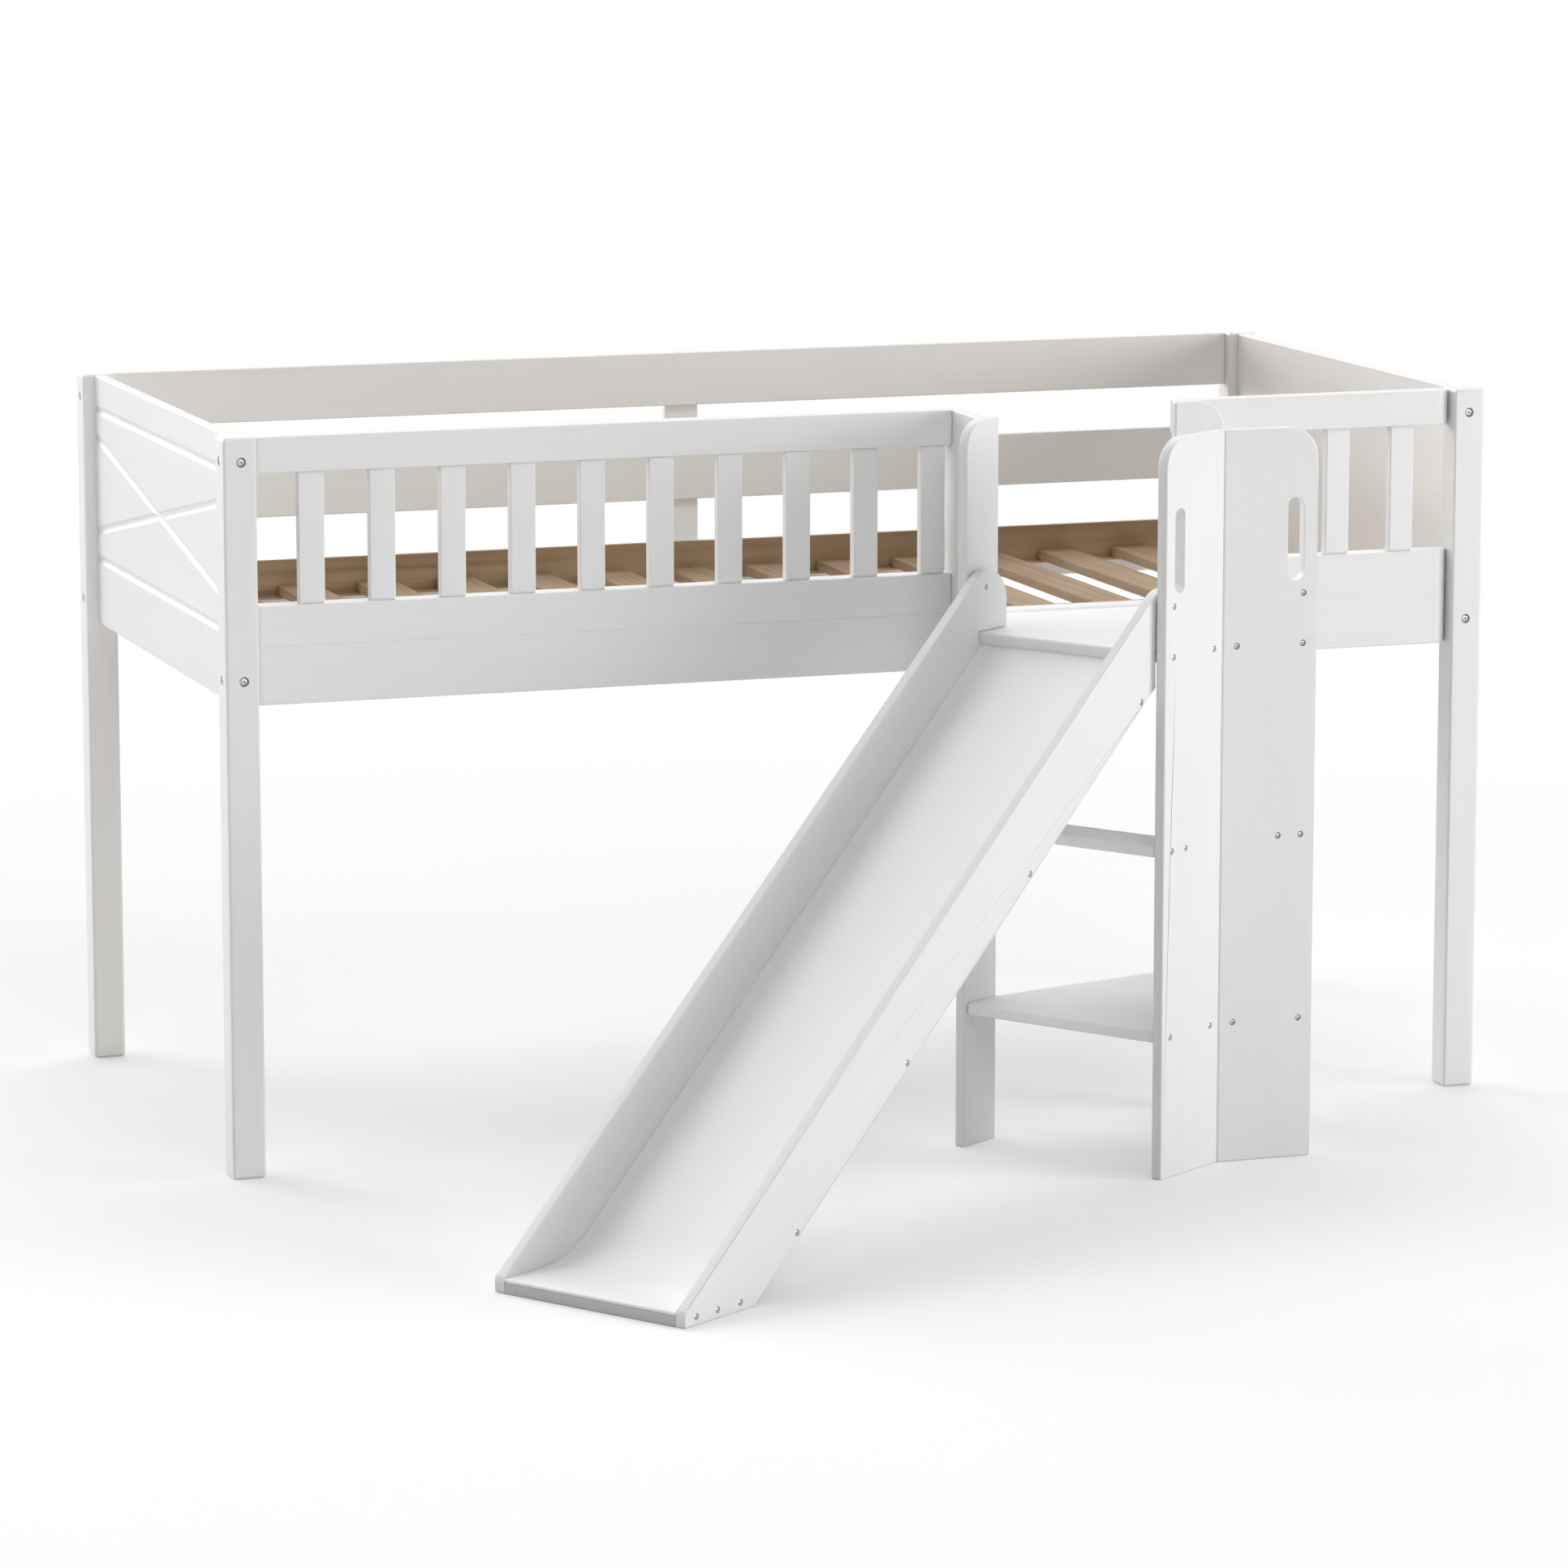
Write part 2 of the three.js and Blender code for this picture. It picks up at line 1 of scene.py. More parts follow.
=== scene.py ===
"""Finishes, fixings, light and camera for the loft bed with slide.

Lengths are metres in the shared frame, except where a comment says millimetres.
"""

from math import cos, pi, radians, sin, tan

import bmesh
import bpy
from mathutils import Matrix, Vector


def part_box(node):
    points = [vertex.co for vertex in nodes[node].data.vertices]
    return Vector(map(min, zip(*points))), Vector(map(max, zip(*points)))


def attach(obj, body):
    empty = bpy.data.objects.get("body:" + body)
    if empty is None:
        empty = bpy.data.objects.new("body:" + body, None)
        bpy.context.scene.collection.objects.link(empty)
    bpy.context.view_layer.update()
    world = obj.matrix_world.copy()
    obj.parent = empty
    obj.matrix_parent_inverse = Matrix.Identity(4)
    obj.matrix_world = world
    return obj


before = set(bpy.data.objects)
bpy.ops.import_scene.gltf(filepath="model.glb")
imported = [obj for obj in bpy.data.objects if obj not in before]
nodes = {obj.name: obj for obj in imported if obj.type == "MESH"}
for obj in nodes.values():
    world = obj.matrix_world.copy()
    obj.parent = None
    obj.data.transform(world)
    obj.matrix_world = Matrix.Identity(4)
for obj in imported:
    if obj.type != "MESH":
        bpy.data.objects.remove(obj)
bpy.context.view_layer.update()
scene = bpy.context.scene
MM = 0.001

# the slide lies at this angle in plan and this angle to the floor
SLIDE_TURN = radians(33.6)
SLIDE_ANGLE = radians(37.4)

# turns that lay a finish's grain along an axis or down the slide
ALONG_X = (0, 0, 0)
ALONG_Y = (0, 0, radians(90))
ALONG_Z = (0, radians(-90), 0)
DOWN_SLIDE = (0, -SLIDE_ANGLE, SLIDE_TURN)


def grey(level):
    return (level, level, level)


# linear colours
PAINT = (0.855, 0.855, 0.853)
# the white paint made lighter and warmer for the back boards and back rail: painted bounce light
BACK_BOARD_PAINTED_BOUNCE = (0.88, 0.865, 0.845)
# the white paint made lighter and warmer for the right end panel: painted bounce light
RIGHT_END_PAINTED_BOUNCE = (0.9, 0.88, 0.86)
# the white paint made lighter and warmer for the back posts and stile: painted light
BACK_POST_PAINTED_LIGHT = (0.92, 0.91, 0.895)
# the white paint made darker for the tower and slide panels: painted shade
TOWER_SLIDE_PAINTED_SHADE = grey(0.83)
# the white paint made lighter for the treads, platform and lower shelf: painted light
TREAD_PAINTED_LIGHT = grey(0.9)
# the white paint made much darker for the slide's foot board: painted shade
FOOT_PAINTED_SHADE = grey(0.58)
LAMINATE = grey(0.93)
SLAT_PINE = [(0.42, 0.285, 0.165), (0.355, 0.23, 0.128), (0.275, 0.173, 0.093)]
LEDGER_PINE = [(0.4, 0.27, 0.15), (0.335, 0.225, 0.125), (0.25, 0.162, 0.088)]
ZINC = (0.66, 0.66, 0.67)
FLOOR = grey(0.68)
FLOOR_BOUNCE = grey(0.8)


# materials
# Sizes are those of the noise along its turned axes. Ramps are (position, colour) pairs.


def new_material(name, color, roughness):
    """A Principled material with its node tree, ready for more nodes."""
    material = bpy.data.materials.new(name)
    material.use_nodes = True
    surface = material.node_tree.nodes["Principled BSDF"]
    surface.inputs["Base Color"].default_value = (*color, 1)
    surface.inputs["Roughness"].default_value = roughness
    return material, material.node_tree, surface


def noise_along(tree, size, rotation=ALONG_X, detail=3.0, distortion=0.0):
    """Noise in the part's own frame, stretched to `size` metres along each turned axis."""
    place = tree.nodes.new("ShaderNodeTexCoord")
    mapping = tree.nodes.new("ShaderNodeMapping")
    mapping.vector_type = "TEXTURE"
    mapping.inputs["Rotation"].default_value = rotation
    mapping.inputs["Scale"].default_value = size
    noise = tree.nodes.new("ShaderNodeTexNoise")
    noise.inputs["Scale"].default_value = 1
    noise.inputs["Detail"].default_value = detail
    noise.inputs["Distortion"].default_value = distortion
    tree.links.new(place.outputs["Object"], mapping.inputs["Vector"])
    tree.links.new(mapping.outputs["Vector"], noise.inputs["Vector"])
    return noise.outputs["Fac"]


def ramp(tree, value, stops):
    """Colours or greys by position, from (position, colour) pairs."""
    node = tree.nodes.new("ShaderNodeValToRGB")
    elements = node.color_ramp.elements
    while len(elements) < len(stops):
        elements.new(0.5)
    for element, (position, color) in zip(elements, stops):
        element.position = position
        element.color = (*color, 1)
    tree.links.new(value, node.inputs["Fac"])
    return node.outputs["Color"]


def multiply(tree, first, second):
    node = tree.nodes.new("ShaderNodeMix")
    node.data_type = "RGBA"
    node.blend_type = "MULTIPLY"
    node.inputs["Factor"].default_value = 1
    tree.links.new(first, node.inputs["A"])
    tree.links.new(second, node.inputs["B"])
    return node.outputs["Result"]


def add_bump(tree, surface, height, distance):
    bump = tree.nodes.new("ShaderNodeBump")
    bump.inputs["Strength"].default_value = 1
    bump.inputs["Distance"].default_value = distance
    tree.links.new(height, bump.inputs["Height"])
    tree.links.new(bump.outputs["Normal"], surface.inputs["Normal"])


PAINT_ROUGHNESS = 0.4
PAINT_STREAK_SIZE = (0.4, 0.004, 0.004)
PAINT_STREAK_SHADE = 0.98
PAINT_STREAK_ENDS = (0.34, 0.62)
PAINT_PATCH_SIZE = (0.25, 0.12, 0.12)
PAINT_PATCHES = [(0.3, grey(0.985)), (0.7, grey(1))]
PAINT_GLOSS = [(0.2, grey(0.36)), (0.8, grey(0.46))]
PAINT_PORE_SIZE = (0.05, 0.0015, 0.0015)
PAINT_PORE_DEPTH = 0.03 * MM


def painted_wood(name, rotation, color=PAINT):
    """White paint over wood: barely visible streaks along the grain, slight unevenness."""
    material, tree, surface = new_material(name, color, PAINT_ROUGHNESS)
    streaks = noise_along(tree, PAINT_STREAK_SIZE, rotation, detail=4)
    shade = [channel * PAINT_STREAK_SHADE for channel in color]
    brush = ramp(tree, streaks, list(zip(PAINT_STREAK_ENDS, [shade, color])))
    cloud = noise_along(tree, PAINT_PATCH_SIZE, rotation, detail=2)
    patches = ramp(tree, cloud, PAINT_PATCHES)
    tree.links.new(multiply(tree, brush, patches), surface.inputs["Base Color"])
    gloss = ramp(tree, streaks, PAINT_GLOSS)
    tree.links.new(gloss, surface.inputs["Roughness"])
    pores = noise_along(tree, PAINT_PORE_SIZE, rotation, detail=4)
    add_bump(tree, surface, pores, PAINT_PORE_DEPTH)
    return material


PINE_ROUGHNESS = 0.55
PINE_RING_SIZE = (0.9, 0.007, 0.02)
PINE_RING_WAVE = 0.15
PINE_RING_POSITIONS = (0.32, 0.46, 0.66)
PINE_FIBRE_SIZE = (0.05, 0.0012, 0.0012)
PINE_FIBRES = [(0.3, (0.9, 0.88, 0.85)), (0.6, grey(1))]
PINE_PATCH_SIZE = (0.12, 0.03, 0.03)
PINE_PATCHES = [(0.3, (0.88, 0.87, 0.84)), (0.7, grey(1))]
PINE_GLOSS = [(0.3, grey(0.62)), (0.7, grey(0.5))]
PINE_FIBRE_DEPTH = 0.15 * MM


def bare_pine(name, rotation, colors):
    """Oiled pine in three tones, light to dark: straight narrow grain, thin fibres, patches."""
    material, tree, surface = new_material(name, colors[1], PINE_ROUGHNESS)
    rings = noise_along(tree, PINE_RING_SIZE, rotation, detail=3, distortion=PINE_RING_WAVE)
    grain = ramp(tree, rings, list(zip(PINE_RING_POSITIONS, colors[::-1])))
    fibres = noise_along(tree, PINE_FIBRE_SIZE, rotation, detail=4)
    thin = ramp(tree, fibres, PINE_FIBRES)
    cloud = noise_along(tree, PINE_PATCH_SIZE, rotation, detail=3)
    patches = ramp(tree, cloud, PINE_PATCHES)
    toned = multiply(tree, grain, patches)
    tree.links.new(multiply(tree, toned, thin), surface.inputs["Base Color"])
    dull = ramp(tree, fibres, PINE_GLOSS)
    tree.links.new(dull, surface.inputs["Roughness"])
    add_bump(tree, surface, fibres, PINE_FIBRE_DEPTH)
    return material


LAMINATE_ROUGHNESS = 0.32
LAMINATE_PATCH_SIZE = (0.3, 0.1, 0.1)
LAMINATE_PATCHES = [(0.3, grey(0.915)), (0.7, LAMINATE)]
LAMINATE_GLOSS = [(0.3, grey(0.28)), (0.7, grey(0.36))]
LAMINATE_PEEL_SIZE = (0.003, 0.003, 0.003)
LAMINATE_PEEL_DEPTH = 0.05 * MM


def laminate(name):
    """A smooth white sheet with the faint orange-peel texture of lacquered hardboard."""
    material, tree, surface = new_material(name, LAMINATE, LAMINATE_ROUGHNESS)
    cloud = noise_along(tree, LAMINATE_PATCH_SIZE, DOWN_SLIDE, detail=2)
    tone = ramp(tree, cloud, LAMINATE_PATCHES)
    tree.links.new(tone, surface.inputs["Base Color"])
    gloss = ramp(tree, cloud, LAMINATE_GLOSS)
    tree.links.new(gloss, surface.inputs["Roughness"])
    peel = noise_along(tree, LAMINATE_PEEL_SIZE, detail=2)
    add_bump(tree, surface, peel, LAMINATE_PEEL_DEPTH)
    return material


ZINC_ROUGHNESS = 0.35
ZINC_MARK_SIZE = (0.0008, 0.0008, 0.0008)
ZINC_TONES = [(0.3, (0.56, 0.56, 0.57)), (0.7, ZINC)]
ZINC_GLOSS = [(0.2, grey(0.28)), (0.8, grey(0.45))]


def plated_steel(name):
    """Zinc-plated steel with fine mottling."""
    material, tree, surface = new_material(name, ZINC, ZINC_ROUGHNESS)
    surface.inputs["Metallic"].default_value = 1
    marks = noise_along(tree, ZINC_MARK_SIZE, detail=3)
    tone = ramp(tree, marks, ZINC_TONES)
    tree.links.new(tone, surface.inputs["Base Color"])
    rough = ramp(tree, marks, ZINC_GLOSS)
    tree.links.new(rough, surface.inputs["Roughness"])
    return material


upright_paint = painted_wood("paint_upright", ALONG_Z)
lengthwise_paint = painted_wood("paint_lengthwise", ALONG_X)
crosswise_paint = painted_wood("paint_crosswise", ALONG_Y)
# a lighter, warmer copy of the white paint: painted bounce light on the back boards and back
# rail
back_painted_bounce = painted_wood("paint_back_painted_bounce", ALONG_X, BACK_BOARD_PAINTED_BOUNCE)
# a lighter, warmer copy of the white paint: painted light on the back posts and stile
back_upright_painted_light = painted_wood("paint_back_upright", ALONG_Z, BACK_POST_PAINTED_LIGHT)
# a lighter, warmer copy of the white paint: painted bounce light on the right end panel
right_end_painted_bounce = painted_wood("paint_right_end_painted_bounce", ALONG_Y, RIGHT_END_PAINTED_BOUNCE)
# a darker copy of the white paint: painted shade on the tower
tower_painted_shade = painted_wood("paint_tower_painted_shade", ALONG_Z, TOWER_SLIDE_PAINTED_SHADE)
# a lighter copy of the white paint: painted light on the treads, platform and lower shelf
tread_painted_light = painted_wood("paint_treads_painted_light", ALONG_X, TREAD_PAINTED_LIGHT)
# a darker copy of the white paint: painted shade on the slide panels
slide_painted_shade = painted_wood("paint_slide_painted_shade", DOWN_SLIDE, TOWER_SLIDE_PAINTED_SHADE)
# a much darker copy of the white paint: painted shade on the foot board
foot_painted_shade = painted_wood("paint_foot_board_painted_shade", DOWN_SLIDE, FOOT_PAINTED_SHADE)
slat_pine = bare_pine("pine_slats", ALONG_Y, SLAT_PINE)
ledger_pine = bare_pine("pine_ledgers", ALONG_X, LEDGER_PINE)
sheet_laminate = laminate("laminate")
zinc = plated_steel("zinc")

# the start of a node's name gives its material and how far its long edges are rounded
FINISHES = [
    ("post_front_", upright_paint, 6 * MM),
    ("post_back_", back_upright_painted_light, 6 * MM),
    ("end_panel_left", crosswise_paint, 2.5 * MM),
    ("end_panel_right", right_end_painted_bounce, 2.5 * MM),
    ("side_rail_front", lengthwise_paint, 3 * MM),
    ("side_rail_back", back_painted_bounce, 3 * MM),
    ("back_board_", back_painted_bounce, 2.5 * MM),
    ("back_stile", back_upright_painted_light, 2 * MM),
    ("guard_strip_", lengthwise_paint, 3 * MM),
    ("guard_rail_", lengthwise_paint, 3 * MM),
    ("guard_slat_", upright_paint, 2 * MM),
    ("ledger_", ledger_pine, 1 * MM),
    ("bed_slat_", slat_pine, 3 * MM),
    ("tower_", tower_painted_shade, 3 * MM),
    ("tread_", tread_painted_light, 3 * MM),
    ("platform", tread_painted_light, 5 * MM),
    ("lower_shelf", tread_painted_light, 3 * MM),
    ("slide_panel_", slide_painted_shade, 3.5 * MM),
    ("slide_sheet", sheet_laminate, 0.6 * MM),
    ("slide_foot_board", foot_painted_shade, 2 * MM),
]

# the longest edge in the rims of these pieces' holes, and the share of the rounding a rim keeps
RIM_EDGES = {"post_": 3.4 * MM, "tower_outer_": 2.2 * MM, "slide_panel_": 2.2 * MM}
RIM_SHARE = 0.15

# in degrees: edges up to the first stay as they are, those over the second are rounded fully
SMOOTH_ANGLE = 32
SQUARE_ANGLE = 80

# the share of the rounding kept at the seam between the front side rail and the strips above
TIGHT_SEAMS = {"side_rail_front": 0.12, "guard_strip_right": 0.05, "guard_strip_left": 0.3}
SEAM_REACH = 0.1 * MM

# faces across a rounded edge, how close split corners lie, and the bend of a flat in degrees
ROUNDING_STEPS = 3
CORNER_GAP = 0.01 * MM
FLAT_ANGLE = 0.5


# rounded edges


def new_group(name, number_inputs=()):
    """A geometry node group from geometry to geometry, with its input and output nodes."""
    group = bpy.data.node_groups.new(name, "GeometryNodeTree")
    group.interface.new_socket("Geometry", in_out="INPUT", socket_type="NodeSocketGeometry")
    for label in number_inputs:
        group.interface.new_socket(label, in_out="INPUT", socket_type="NodeSocketFloat")
    group.interface.new_socket("Geometry", in_out="OUTPUT", socket_type="NodeSocketGeometry")
    return group, group.nodes.new("NodeGroupInput"), group.nodes.new("NodeGroupOutput")


def smoothing_group():
    """Smooth shading on every face, kept sharp at edges over the smooth angle."""
    group, start, end = new_group("smooth_by_angle")
    bare = group.nodes.new("GeometryNodeRemoveAttribute")
    bare.inputs["Name"].default_value = "custom_normal"
    faces = group.nodes.new("GeometryNodeSetShadeSmooth")
    faces.domain = "FACE"
    edges = group.nodes.new("GeometryNodeSetShadeSmooth")
    edges.domain = "EDGE"
    edges.inputs["Shade Smooth"].default_value = False
    angle = group.nodes.new("GeometryNodeInputMeshEdgeAngle")
    sharp = group.nodes.new("FunctionNodeCompare")
    sharp.operation = "GREATER_THAN"
    sharp.inputs[1].default_value = radians(SMOOTH_ANGLE)
    group.links.new(start.outputs[0], bare.inputs["Geometry"])
    group.links.new(bare.outputs["Geometry"], faces.inputs["Geometry"])
    group.links.new(faces.outputs["Geometry"], edges.inputs["Geometry"])
    group.links.new(angle.outputs["Unsigned Angle"], sharp.inputs[0])
    group.links.new(sharp.outputs["Result"], edges.inputs["Selection"])
    group.links.new(edges.outputs["Geometry"], end.inputs[0])
    return group


def edge_weight_group():
    """Weighs each sharp edge for rounding: a rim's short edges and a seam's edges weigh less."""
    group, start, end = new_group("edge_weights", ["Shortest", "Seam height", "Seam share"])

    def calculate(operation, *values):
        node = group.nodes.new("ShaderNodeMath")
        node.operation = operation
        for socket, value in zip(node.inputs, values):
            if isinstance(value, bpy.types.NodeSocket):
                group.links.new(value, socket)
            else:
                socket.default_value = value
        return node.outputs[0]

    angle = group.nodes.new("GeometryNodeInputMeshEdgeAngle").outputs["Unsigned Angle"]
    corners = group.nodes.new("GeometryNodeInputMeshEdgeVertices")
    length = group.nodes.new("ShaderNodeVectorMath")
    length.operation = "DISTANCE"
    group.links.new(corners.outputs["Position 1"], length.inputs[0])
    group.links.new(corners.outputs["Position 2"], length.inputs[1])
    place = group.nodes.new("ShaderNodeSeparateXYZ")
    group.links.new(group.nodes.new("GeometryNodeInputPosition").outputs[0], place.inputs[0])
    over = calculate("SUBTRACT", angle, radians(SMOOTH_ANGLE))
    sharpness = calculate("DIVIDE", over, radians(SQUARE_ANGLE - SMOOTH_ANGLE))
    sharpness.node.use_clamp = True
    is_short = calculate("LESS_THAN", length.outputs["Value"], start.outputs["Shortest"])
    above_seam = calculate("SUBTRACT", place.outputs["Z"], start.outputs["Seam height"])
    at_seam = calculate("LESS_THAN", calculate("ABSOLUTE", above_seam), SEAM_REACH)
    rim_loss = calculate("MULTIPLY", is_short, 1 - RIM_SHARE)
    seam_cut = calculate("SUBTRACT", 1, start.outputs["Seam share"])
    seam_loss = calculate("MULTIPLY", at_seam, seam_cut)
    rim_kept = calculate("SUBTRACT", 1, rim_loss)
    seam_kept = calculate("SUBTRACT", 1, seam_loss)
    kept = calculate("MULTIPLY", rim_kept, seam_kept)
    store = group.nodes.new("GeometryNodeStoreNamedAttribute")
    store.data_type = "FLOAT"
    store.domain = "EDGE"
    store.inputs["Name"].default_value = "bevel_weight_edge"
    group.links.new(start.outputs["Geometry"], store.inputs["Geometry"])
    group.links.new(calculate("MULTIPLY", sharpness, kept), store.inputs["Value"])
    group.links.new(store.outputs[0], end.inputs[0])
    return group


smooth_by_angle = smoothing_group()
edge_weights = edge_weight_group()
weight_inputs = {
    item.name: item.identifier
    for item in edge_weights.interface.items_tree
    if item.in_out == "INPUT"
}
seam_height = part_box("side_rail_front")[1][2]


def round_edges(piece, radius):
    """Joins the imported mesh's split corners, drops needless edges and rounds the rest."""
    weld = piece.modifiers.new("join_corners", "WELD")
    weld.merge_threshold = CORNER_GAP
    flat = piece.modifiers.new("merge_flats", "DECIMATE")
    flat.decimate_type = "DISSOLVE"
    flat.angle_limit = radians(FLAT_ANGLE)
    weigh = piece.modifiers.new("weigh_edges", "NODES")
    weigh.node_group = edge_weights
    rims = [longest for start, longest in RIM_EDGES.items() if piece.name.startswith(start)]
    weigh[weight_inputs["Shortest"]] = rims[0] if rims else 0.0
    weigh[weight_inputs["Seam height"]] = seam_height
    weigh[weight_inputs["Seam share"]] = float(TIGHT_SEAMS.get(piece.name, 1))
    bevel = piece.modifiers.new("rounded_edges", "BEVEL")
    bevel.width = radius
    bevel.segments = ROUNDING_STEPS
    bevel.limit_method = "WEIGHT"
    bevel.use_clamp_overlap = False
    smooth = piece.modifiers.new("shading", "NODES")
    smooth.node_group = smooth_by_angle
    even = piece.modifiers.new("flat_faces_stay_flat", "WEIGHTED_NORMAL")
    even.keep_sharp = True


for name, node in nodes.items():
    material, radius = next((m, r) for start, m, r in FINISHES if name.startswith(start))
    node.data.materials.clear()
    node.data.materials.append(material)
    round_edges(node, radius)


# bolt and screw heads
# A head lies on its hole's floor.

BED_LEFT = -1.0375
BED_RIGHT = 1.0375
BED_FRONT = 0.04768
BED_BACK = 1.02968
BOLT_INSET = 28 * MM
BOLT_HEIGHTS = [1.102, 0.769]
BOLT_HOLE_DEPTH = 7 * MM
SCREW_HOLE_DEPTH = 5 * MM

# diameter, height of the whole dome and the socket's width across flats
BOLT_HEAD = (14.4 * MM, 6.6 * MM, 4 * MM)
SCREW_HEAD = (9.4 * MM, 4.6 * MM, 2.6 * MM)
HEAD_SIDES = 24
# how far round the quarter circle of a head's dome its rings lie
DOME_SHARES = [0, 0.18, 0.36, 0.54, 0.7]
# the socket's flare at the top, and its rim and floor as shares of the flat top's height
SOCKET_FLARE = 1.08
SOCKET_RIM = 0.95
SOCKET_FLOOR = 0.35


def hexagon_radius(flat, angle):
    """Distance from the middle to a hexagon's edge, for a width across flats."""
    return flat / 2 / cos((angle + pi / 6) % (pi / 3) - pi / 6)


def fixing_mesh(name, diameter, height, flat):
    """A domed head with a six-sided socket; it faces +Z from z = 0."""
    mesh = bpy.data.meshes.new(name)
    shape = bmesh.new()
    angles = [2 * pi * i / HEAD_SIDES for i in range(HEAD_SIDES)]

    def ring(radii, z):
        places = [(r * cos(a), r * sin(a), z) for r, a in zip(radii, angles)]
        return [shape.verts.new(place) for place in places]

    socket = [hexagon_radius(flat, a) for a in angles]
    turns = [share * pi / 2 for share in DOME_SHARES]
    rings = []
    for turn in turns:
        rings.append(ring([diameter / 2 * cos(turn)] * HEAD_SIDES, height * sin(turn)))
    top = height * sin(turns[-1])
    rings += [
        ring([r * SOCKET_FLARE for r in socket], top),
        ring(socket, top * SOCKET_RIM),
        ring(socket, top * SOCKET_FLOOR),
    ]
    for lower, upper in zip(rings, rings[1:]):
        for i in range(HEAD_SIDES):
            j = (i + 1) % HEAD_SIDES
            face = shape.faces.new((lower[i], lower[j], upper[j], upper[i]))
            face.smooth = lower in rings[: len(turns) - 1]
    shape.faces.new(list(reversed(rings[0])))
    shape.faces.new(rings[-1])
    bmesh.ops.recalc_face_normals(shape, faces=shape.faces)
    shape.to_mesh(mesh)
    shape.free()
    mesh.materials.append(zinc)
    return mesh


bolt_mesh = fixing_mesh("bolt_head", *BOLT_HEAD)
screw_mesh = fixing_mesh("screw_head", *SCREW_HEAD)


def add_fixing(name, mesh, place, outward, depth):
    """A head at the bottom of a hole whose mouth is at `place`."""
    head = bpy.data.objects.new(name, mesh)
    head.location = Vector(place) - Vector(outward) * depth
    head.rotation_euler = Vector(outward).to_track_quat("Z", "Y").to_euler()
    scene.collection.objects.link(head)
    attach(head, "root")


def add_bolt(name, place, outward):
    add_fixing(name, bolt_mesh, place, outward, BOLT_HOLE_DEPTH)


def add_screw(name, place, outward):
    add_fixing(name, screw_mesh, place, outward, SCREW_HOLE_DEPTH)


for side, side_x, right in [("left", BED_LEFT, 1), ("right", BED_RIGHT, -1)]:
    for end, end_y, back in [("front", BED_FRONT, 1), ("back", BED_BACK, -1)]:
        bolt_x = side_x + right * BOLT_INSET
        bolt_y = end_y + back * BOLT_INSET
        for i, z in enumerate(BOLT_HEIGHTS):
            label = f"bolt_{side}_{end}_{i + 1}"
            add_bolt(f"{label}_x", (side_x, bolt_y, z), (-right, 0, 0))
            add_bolt(f"{label}_y", (bolt_x, end_y, z), (0, -back, 0))

# the tower's front face, its right edge and the slide board's outer corner on the floor
TOWER_FRONT = -0.32832
TOWER_RIGHT = 0.584
SLIDE_CORNER = Vector((0.2999, -0.41409, 0))

# Millimetres from here on to the slide's screws: distances in from a board's outer edge,
# distances along and across the slide from its corner, and heights.
EDGE_SCREW = 22.5
TREAD_INNER_SCREW = 60
INNER_SCREW = 132
TOP_SCREW_HEIGHT = 883
PLATFORM_SCREW_HEIGHT = 805.5
TREAD_SCREW_HEIGHT = 508
SHELF_SCREW_HEIGHT = 220
TOWER_SCREWS = [
    (EDGE_SCREW, TOP_SCREW_HEIGHT),
    (EDGE_SCREW, PLATFORM_SCREW_HEIGHT),
    (INNER_SCREW, PLATFORM_SCREW_HEIGHT),
    (EDGE_SCREW, TREAD_SCREW_HEIGHT),
    (TREAD_INNER_SCREW, TREAD_SCREW_HEIGHT),
    (EDGE_SCREW, SHELF_SCREW_HEIGHT),
    (INNER_SCREW, SHELF_SCREW_HEIGHT),
]

SLIDE_REACH = 1144
RIGHT_FACE = 21
LEFT_FACE = 367
LEFT_INNER_FACE = 349
FOOT_SCREWS = [26, 74, 126]
FOOT_SCREW_HEIGHT = 13
# the sliding face lies this far below the panels' top edge, which starts at the foot height
FOOT_HEIGHT = 23
SHEET_DROP = 110
# the battens' screws lie this deep under the sliding face, at these shares of the reach
BATTEN_SCREW_DEPTH = 17
BATTEN_SHARES = [0.2247, 0.4545, 0.7203, 0.972]

slide_along = Vector((cos(SLIDE_TURN), sin(SLIDE_TURN), 0))
slide_across = Vector((-sin(SLIDE_TURN), cos(SLIDE_TURN), 0))


def slide_point(along, across, height):
    """A point from distances in the slide's own plan and a height, all in millimetres."""
    flat = slide_along * along + slide_across * across
    return SLIDE_CORNER + (flat + Vector((0, 0, height))) * MM


for i, (along, z) in enumerate(TOWER_SCREWS):
    ladder_place = (TOWER_RIGHT - along * MM, TOWER_FRONT, z * MM)
    add_screw(f"screw_ladder_board_{i + 1}", ladder_place, (0, -1, 0))
    add_screw(f"screw_slide_board_{i + 1}", slide_point(along, 0, z), -slide_across)

slope = tan(SLIDE_ANGLE)
batten_drop = SHEET_DROP + BATTEN_SCREW_DEPTH / cos(SLIDE_ANGLE)
panel_screws = [(run, FOOT_SCREW_HEIGHT) for run in FOOT_SCREWS]
for share in BATTEN_SHARES:
    run = share * SLIDE_REACH
    panel_screws.append((run, FOOT_HEIGHT + run * slope - batten_drop))
for i, (run, z) in enumerate(panel_screws):
    along = run - SLIDE_REACH
    right_place = slide_point(along, RIGHT_FACE, z)
    add_screw(f"screw_slide_right_{i + 1}", right_place, -slide_across)
    left_place = slide_point(along, LEFT_FACE, z)
    add_screw(f"screw_slide_left_{i + 1}", left_place, slide_across)
top_place = slide_point(EDGE_SCREW, LEFT_INNER_FACE, TOP_SCREW_HEIGHT)
add_screw("screw_slide_top", top_place, -slide_across)


# light
# The backdrop is white where it is seen or mirrored, and adds no diffuse light.

WHITE = (1, 1, 1, 1)

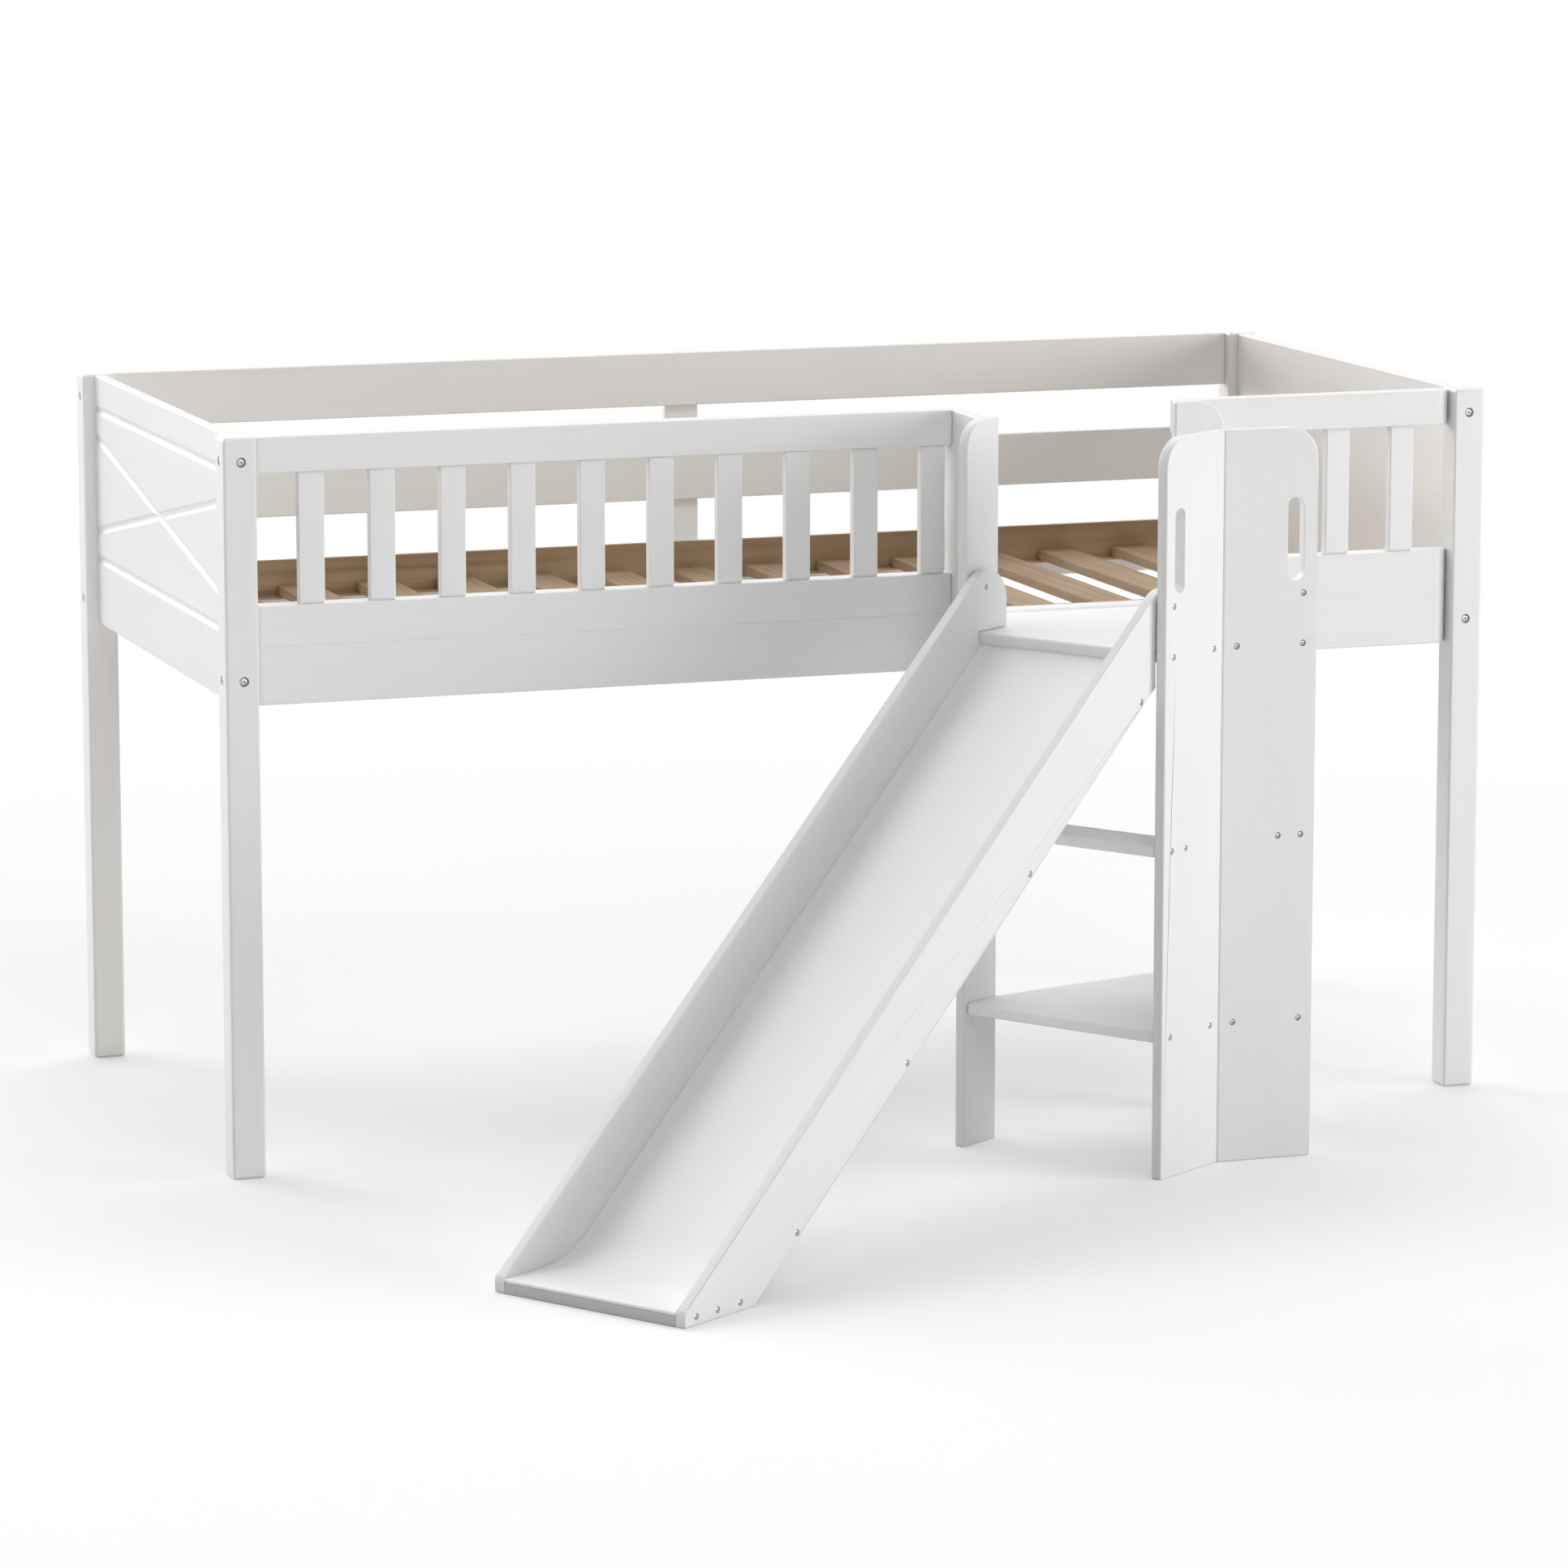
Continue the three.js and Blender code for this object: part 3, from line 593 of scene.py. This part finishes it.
world = bpy.data.worlds.new("studio")
scene.world = world
world.use_nodes = True
world_tree = world.node_tree
world_tree.nodes.clear()
unlit = world_tree.nodes.new("ShaderNodeBackground")
unlit.inputs["Color"].default_value = WHITE
unlit.inputs["Strength"].default_value = 0
backdrop = world_tree.nodes.new("ShaderNodeBackground")
backdrop.inputs["Color"].default_value = WHITE
backdrop.inputs["Strength"].default_value = 1
rays = world_tree.nodes.new("ShaderNodeLightPath")
shown = world_tree.nodes.new("ShaderNodeMath")
shown.operation = "MAXIMUM"
choose = world_tree.nodes.new("ShaderNodeMixShader")
world_out = world_tree.nodes.new("ShaderNodeOutputWorld")
for output, target in [
    (rays.outputs["Is Camera Ray"], shown.inputs[0]),
    (rays.outputs["Is Glossy Ray"], shown.inputs[1]),
    (shown.outputs[0], choose.inputs["Fac"]),
    (unlit.outputs[0], choose.inputs[1]),
    (backdrop.outputs[0], choose.inputs[2]),
    (choose.outputs[0], world_out.inputs["Surface"]),
]:
    world_tree.links.new(output, target)

# name, place, diameter and power in watts of each round lamp, turned to the lamp target
LAMP_TARGET = (0.2, 0, 0.6)
AREA_LAMPS = [
    ("lamp_left", (-2.9, -0.4, 2.2), 1.4, 8),
    ("lamp_right", (2.6, -1.9, 1.3), 0.8, 14.5),
]
# name, azimuth, elevation, spread in degrees and strength of each wide far light;
# azimuth 0 is straight in front and grows to the right
FAR_LAMPS = [
    ("lamp_front", 0, 42, 30, 0.5),
    ("lamp_front_high", 20, 55, 40, 0.3),
    ("lamp_right_low", 60, 12, 30, 1.25),
    ("lamp_back_right", 150, 60, 40, 1.2),
    ("lamp_back_left_high", -150, 42, 70, 0.87),
    ("lamp_back_left_low", -150, 12, 30, 1.3),
    ("lamp_left_high", -120, 42, 70, 0.5),
]


def place_lamp(lamp, place, aim):
    """Puts a lamp at `place`, shining along `aim`."""
    holder = bpy.data.objects.new(lamp.name, lamp)
    holder.location = place
    holder.rotation_euler = aim.to_track_quat("-Z", "Y").to_euler()
    scene.collection.objects.link(holder)


for name, place, diameter, power in AREA_LAMPS:
    lamp = bpy.data.lights.new(name, "AREA")
    lamp.shape = "DISK"
    lamp.size = diameter
    lamp.energy = power
    place_lamp(lamp, place, Vector(LAMP_TARGET) - Vector(place))

for name, azimuth, elevation, spread, strength in FAR_LAMPS:
    lamp = bpy.data.lights.new(name, "SUN")
    lamp.angle = radians(spread)
    lamp.energy = strength
    turn = radians(azimuth)
    rise = radians(elevation)
    aim = Vector((-sin(turn) * cos(rise), cos(turn) * cos(rise), -sin(rise)))
    place_lamp(lamp, (0, 0, 0), aim)


# floor
# Seen directly it is lifted towards white, and fades to white far off; shadows stay on it.

FLOOR_HALF = 30
FLOOR_LIFT = 0.27
FLOOR_ROUGHNESS = 0.9
WHITE_NEAR = 1.6
WHITE_FAR = 4.2

floor_mesh = bpy.data.meshes.new("floor")
corners = [(-1, -1, 0), (1, -1, 0), (1, 1, 0), (-1, 1, 0)]
floor_mesh.from_pydata([Vector(corner) * FLOOR_HALF for corner in corners], [], [(0, 1, 2, 3)])
floor = bpy.data.objects.new("floor", floor_mesh)
scene.collection.objects.link(floor)
floor_material, floor_tree, bounce = new_material("floor", FLOOR_BOUNCE, FLOOR_ROUGHNESS)
bounce.inputs["Specular IOR Level"].default_value = 0
lit = floor_tree.nodes.new("ShaderNodeBsdfDiffuse")
lit.inputs["Color"].default_value = (*FLOOR, 1)
lift = floor_tree.nodes.new("ShaderNodeEmission")
lift.inputs["Strength"].default_value = FLOOR_LIFT
white = floor_tree.nodes.new("ShaderNodeEmission")
lifted = floor_tree.nodes.new("ShaderNodeAddShader")
faded = floor_tree.nodes.new("ShaderNodeMixShader")
seen = floor_tree.nodes.new("ShaderNodeMixShader")
floor_place = floor_tree.nodes.new("ShaderNodeTexCoord")
distance = floor_tree.nodes.new("ShaderNodeVectorMath")
distance.operation = "LENGTH"
fade = floor_tree.nodes.new("ShaderNodeMapRange")
fade.interpolation_type = "SMOOTHSTEP"
fade.inputs["From Min"].default_value = WHITE_NEAR
fade.inputs["From Max"].default_value = WHITE_FAR
floor_rays = floor_tree.nodes.new("ShaderNodeLightPath")
floor_out = floor_tree.nodes["Material Output"]
for output, target in [
    (floor_place.outputs["Object"], distance.inputs[0]),
    (distance.outputs["Value"], fade.inputs["Value"]),
    (lit.outputs[0], lifted.inputs[0]),
    (lift.outputs[0], lifted.inputs[1]),
    (fade.outputs["Result"], faded.inputs["Fac"]),
    (lifted.outputs[0], faded.inputs[1]),
    (white.outputs[0], faded.inputs[2]),
    (floor_rays.outputs["Is Camera Ray"], seen.inputs["Fac"]),
    (bounce.outputs[0], seen.inputs[1]),
    (faded.outputs[0], seen.inputs[2]),
    (seen.outputs[0], floor_out.inputs["Surface"]),
]:
    floor_tree.links.new(output, target)
floor_mesh.materials.append(floor_material)


# camera
# It looks down by the first angle and to the right of straight ahead by the second.

CAMERA_DIP = 9.841
CAMERA_TURN = 18.9795
CAMERA_PLACE = (-3.4032, -9.4143, 2.3004)
LENS = 149.886
SENSOR_WIDTH = 36
VIEW_DISTANCE = 100

camera = bpy.data.objects.new("camera", bpy.data.cameras.new("camera"))
camera.data.lens = LENS
camera.data.sensor_width = SENSOR_WIDTH
camera.data.clip_end = VIEW_DISTANCE
camera.location = CAMERA_PLACE
camera.rotation_euler = (radians(90 - CAMERA_DIP), 0, radians(-CAMERA_TURN))
scene.collection.objects.link(camera)
scene.camera = camera
scene.view_settings.view_transform = "Standard"
